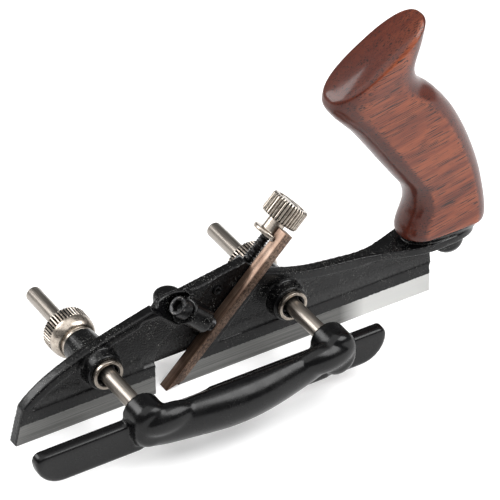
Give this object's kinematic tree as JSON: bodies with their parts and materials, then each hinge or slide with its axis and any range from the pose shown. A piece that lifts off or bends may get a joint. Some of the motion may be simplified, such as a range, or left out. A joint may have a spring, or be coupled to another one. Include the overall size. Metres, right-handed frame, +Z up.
{
  "type": "hand plane",
  "caption": "Small plough hand plane: narrow skate body, skewed-back iron bedded at 45 degrees, sliding side fence on rods, screw adjuster and upright wooden pistol grip.",
  "frame": {"origin": "under the toe, at the middle of the skate's width, on the plane of the sole", "axes": "+X from toe to heel, +Y to the plane's right away from the fence, +Z up from the sole"},
  "size_m": [0.2689, 0.1223, 0.1611],
  "materials": {
    "black_casting": "satin black paint",
    "oxidised_steel": "brown oxidised, scratched lengthways",
    "bright_steel": "ground",
    "bright_nickel": "polished with knurled bands",
    "black_steel": "black oxide",
    "brass": "plain",
    "red_wood": "clear varnish"
  },
  "bodies": {
    "body": {"body_casting": "black_casting", "handle": "red_wood", "handle_insert": "brass", "handle_bolt": "black_steel", "handle_washer": "black_steel", "wall_grub_screw": "black_steel"},
    "fence": {"fence_casting": "black_casting", "front_rod": "bright_steel", "rear_rod": "bright_steel", "front_rod_screw": "black_steel", "rear_rod_screw": "black_steel"},
    "front_nut": {"front_collet_nut": "bright_nickel"},
    "front_collet": {"front_collet": "bright_nickel"},
    "rear_nut": {"rear_collet_nut": "bright_nickel"},
    "rear_collet": {"rear_collet": "bright_nickel"},
    "blade": {"blade": "oxidised_steel"},
    "adjuster": {"adjuster_stud": "black_steel", "adjuster_collar": "bright_nickel", "adjuster_knob": "bright_nickel"},
    "clamp_pad": {"clamp_pad": "black_steel"},
    "clamp_screw": {"clamp_screw": "black_steel"},
    "depth_stop": {"depth_post": "bright_steel", "depth_foot": "bright_steel", "depth_foot_screw": "black_steel"},
    "depth_lock_pad": {"depth_lock_pad": "brass"},
    "depth_lock_knob": {"depth_lock_knob": "bright_nickel"}
  },
  "joints": [
    {"name": "fence_slide", "type": "slide", "parent": "body", "child": "fence", "axis": [0, 1, 0], "range_m": [-0.03, 0.0275]},
    {"name": "front_nut_spin", "type": "hinge", "parent": "body", "child": "front_nut", "pos_m": [0.0452, 0.025, 0.0283], "axis": [0, 1, 0], "range_deg": [0, 288]},
    {"name": "front_collet_slide", "type": "slide", "parent": "body", "child": "front_collet", "axis": [0, -1, 0], "range_m": [0, 0.0008]},
    {"name": "rear_nut_spin", "type": "hinge", "parent": "body", "child": "rear_nut", "pos_m": [0.1447, 0.025, 0.0283], "axis": [0, 1, 0], "range_deg": [0, 288]},
    {"name": "rear_collet_slide", "type": "slide", "parent": "body", "child": "rear_collet", "axis": [0, -1, 0], "range_m": [0, 0.0008]},
    {"name": "blade_slide", "type": "slide", "parent": "body", "child": "blade", "axis": [0.7071, 0, 0.7071], "range_m": [-0.0015, 0.006]},
    {"name": "adjuster_spin", "type": "hinge", "parent": "blade", "child": "adjuster", "pos_m": [0.14237, 0.009, 0.06003], "axis": [0.7071, 0, 0.7071], "range_deg": [-675, 2700]},
    {"name": "clamp_pad_slide", "type": "slide", "parent": "body", "child": "clamp_pad", "axis": [-0.7071, 0, 0.7071], "range_m": [0, 0.003]},
    {"name": "clamp_screw_spin", "type": "hinge", "parent": "clamp_pad", "child": "clamp_screw", "pos_m": [0.10567, 0, 0.02687], "axis": [-0.7071, 0, 0.7071], "range_deg": [0, 1080]},
    {"name": "depth_stop_slide", "type": "slide", "parent": "body", "child": "depth_stop", "axis": [0, 0, 1], "range_m": [-0.01, 0.001]},
    {"name": "depth_lock_slide", "type": "slide", "parent": "body", "child": "depth_lock_pad", "axis": [0, 1, 0], "range_m": [0, 0.001]},
    {"name": "depth_lock_spin", "type": "hinge", "parent": "depth_lock_pad", "child": "depth_lock_knob", "pos_m": [0.0887, 0.02, 0.021], "axis": [0, 1, 0], "range_deg": [0, 360]}
  ],
  "couplings": [
    {"joint": "front_collet_slide", "follows": "front_nut_spin", "m_per_rad": 0.00015915},
    {"joint": "rear_collet_slide", "follows": "rear_nut_spin", "m_per_rad": 0.00015915},
    {"joint": "adjuster_spin", "follows": "blade_slide", "rad_per_m": 7854},
    {"joint": "clamp_screw_spin", "follows": "clamp_pad_slide", "rad_per_m": 6283.2},
    {"joint": "depth_lock_slide", "follows": "depth_lock_spin", "m_per_rad": 0.00015915}
  ]
}
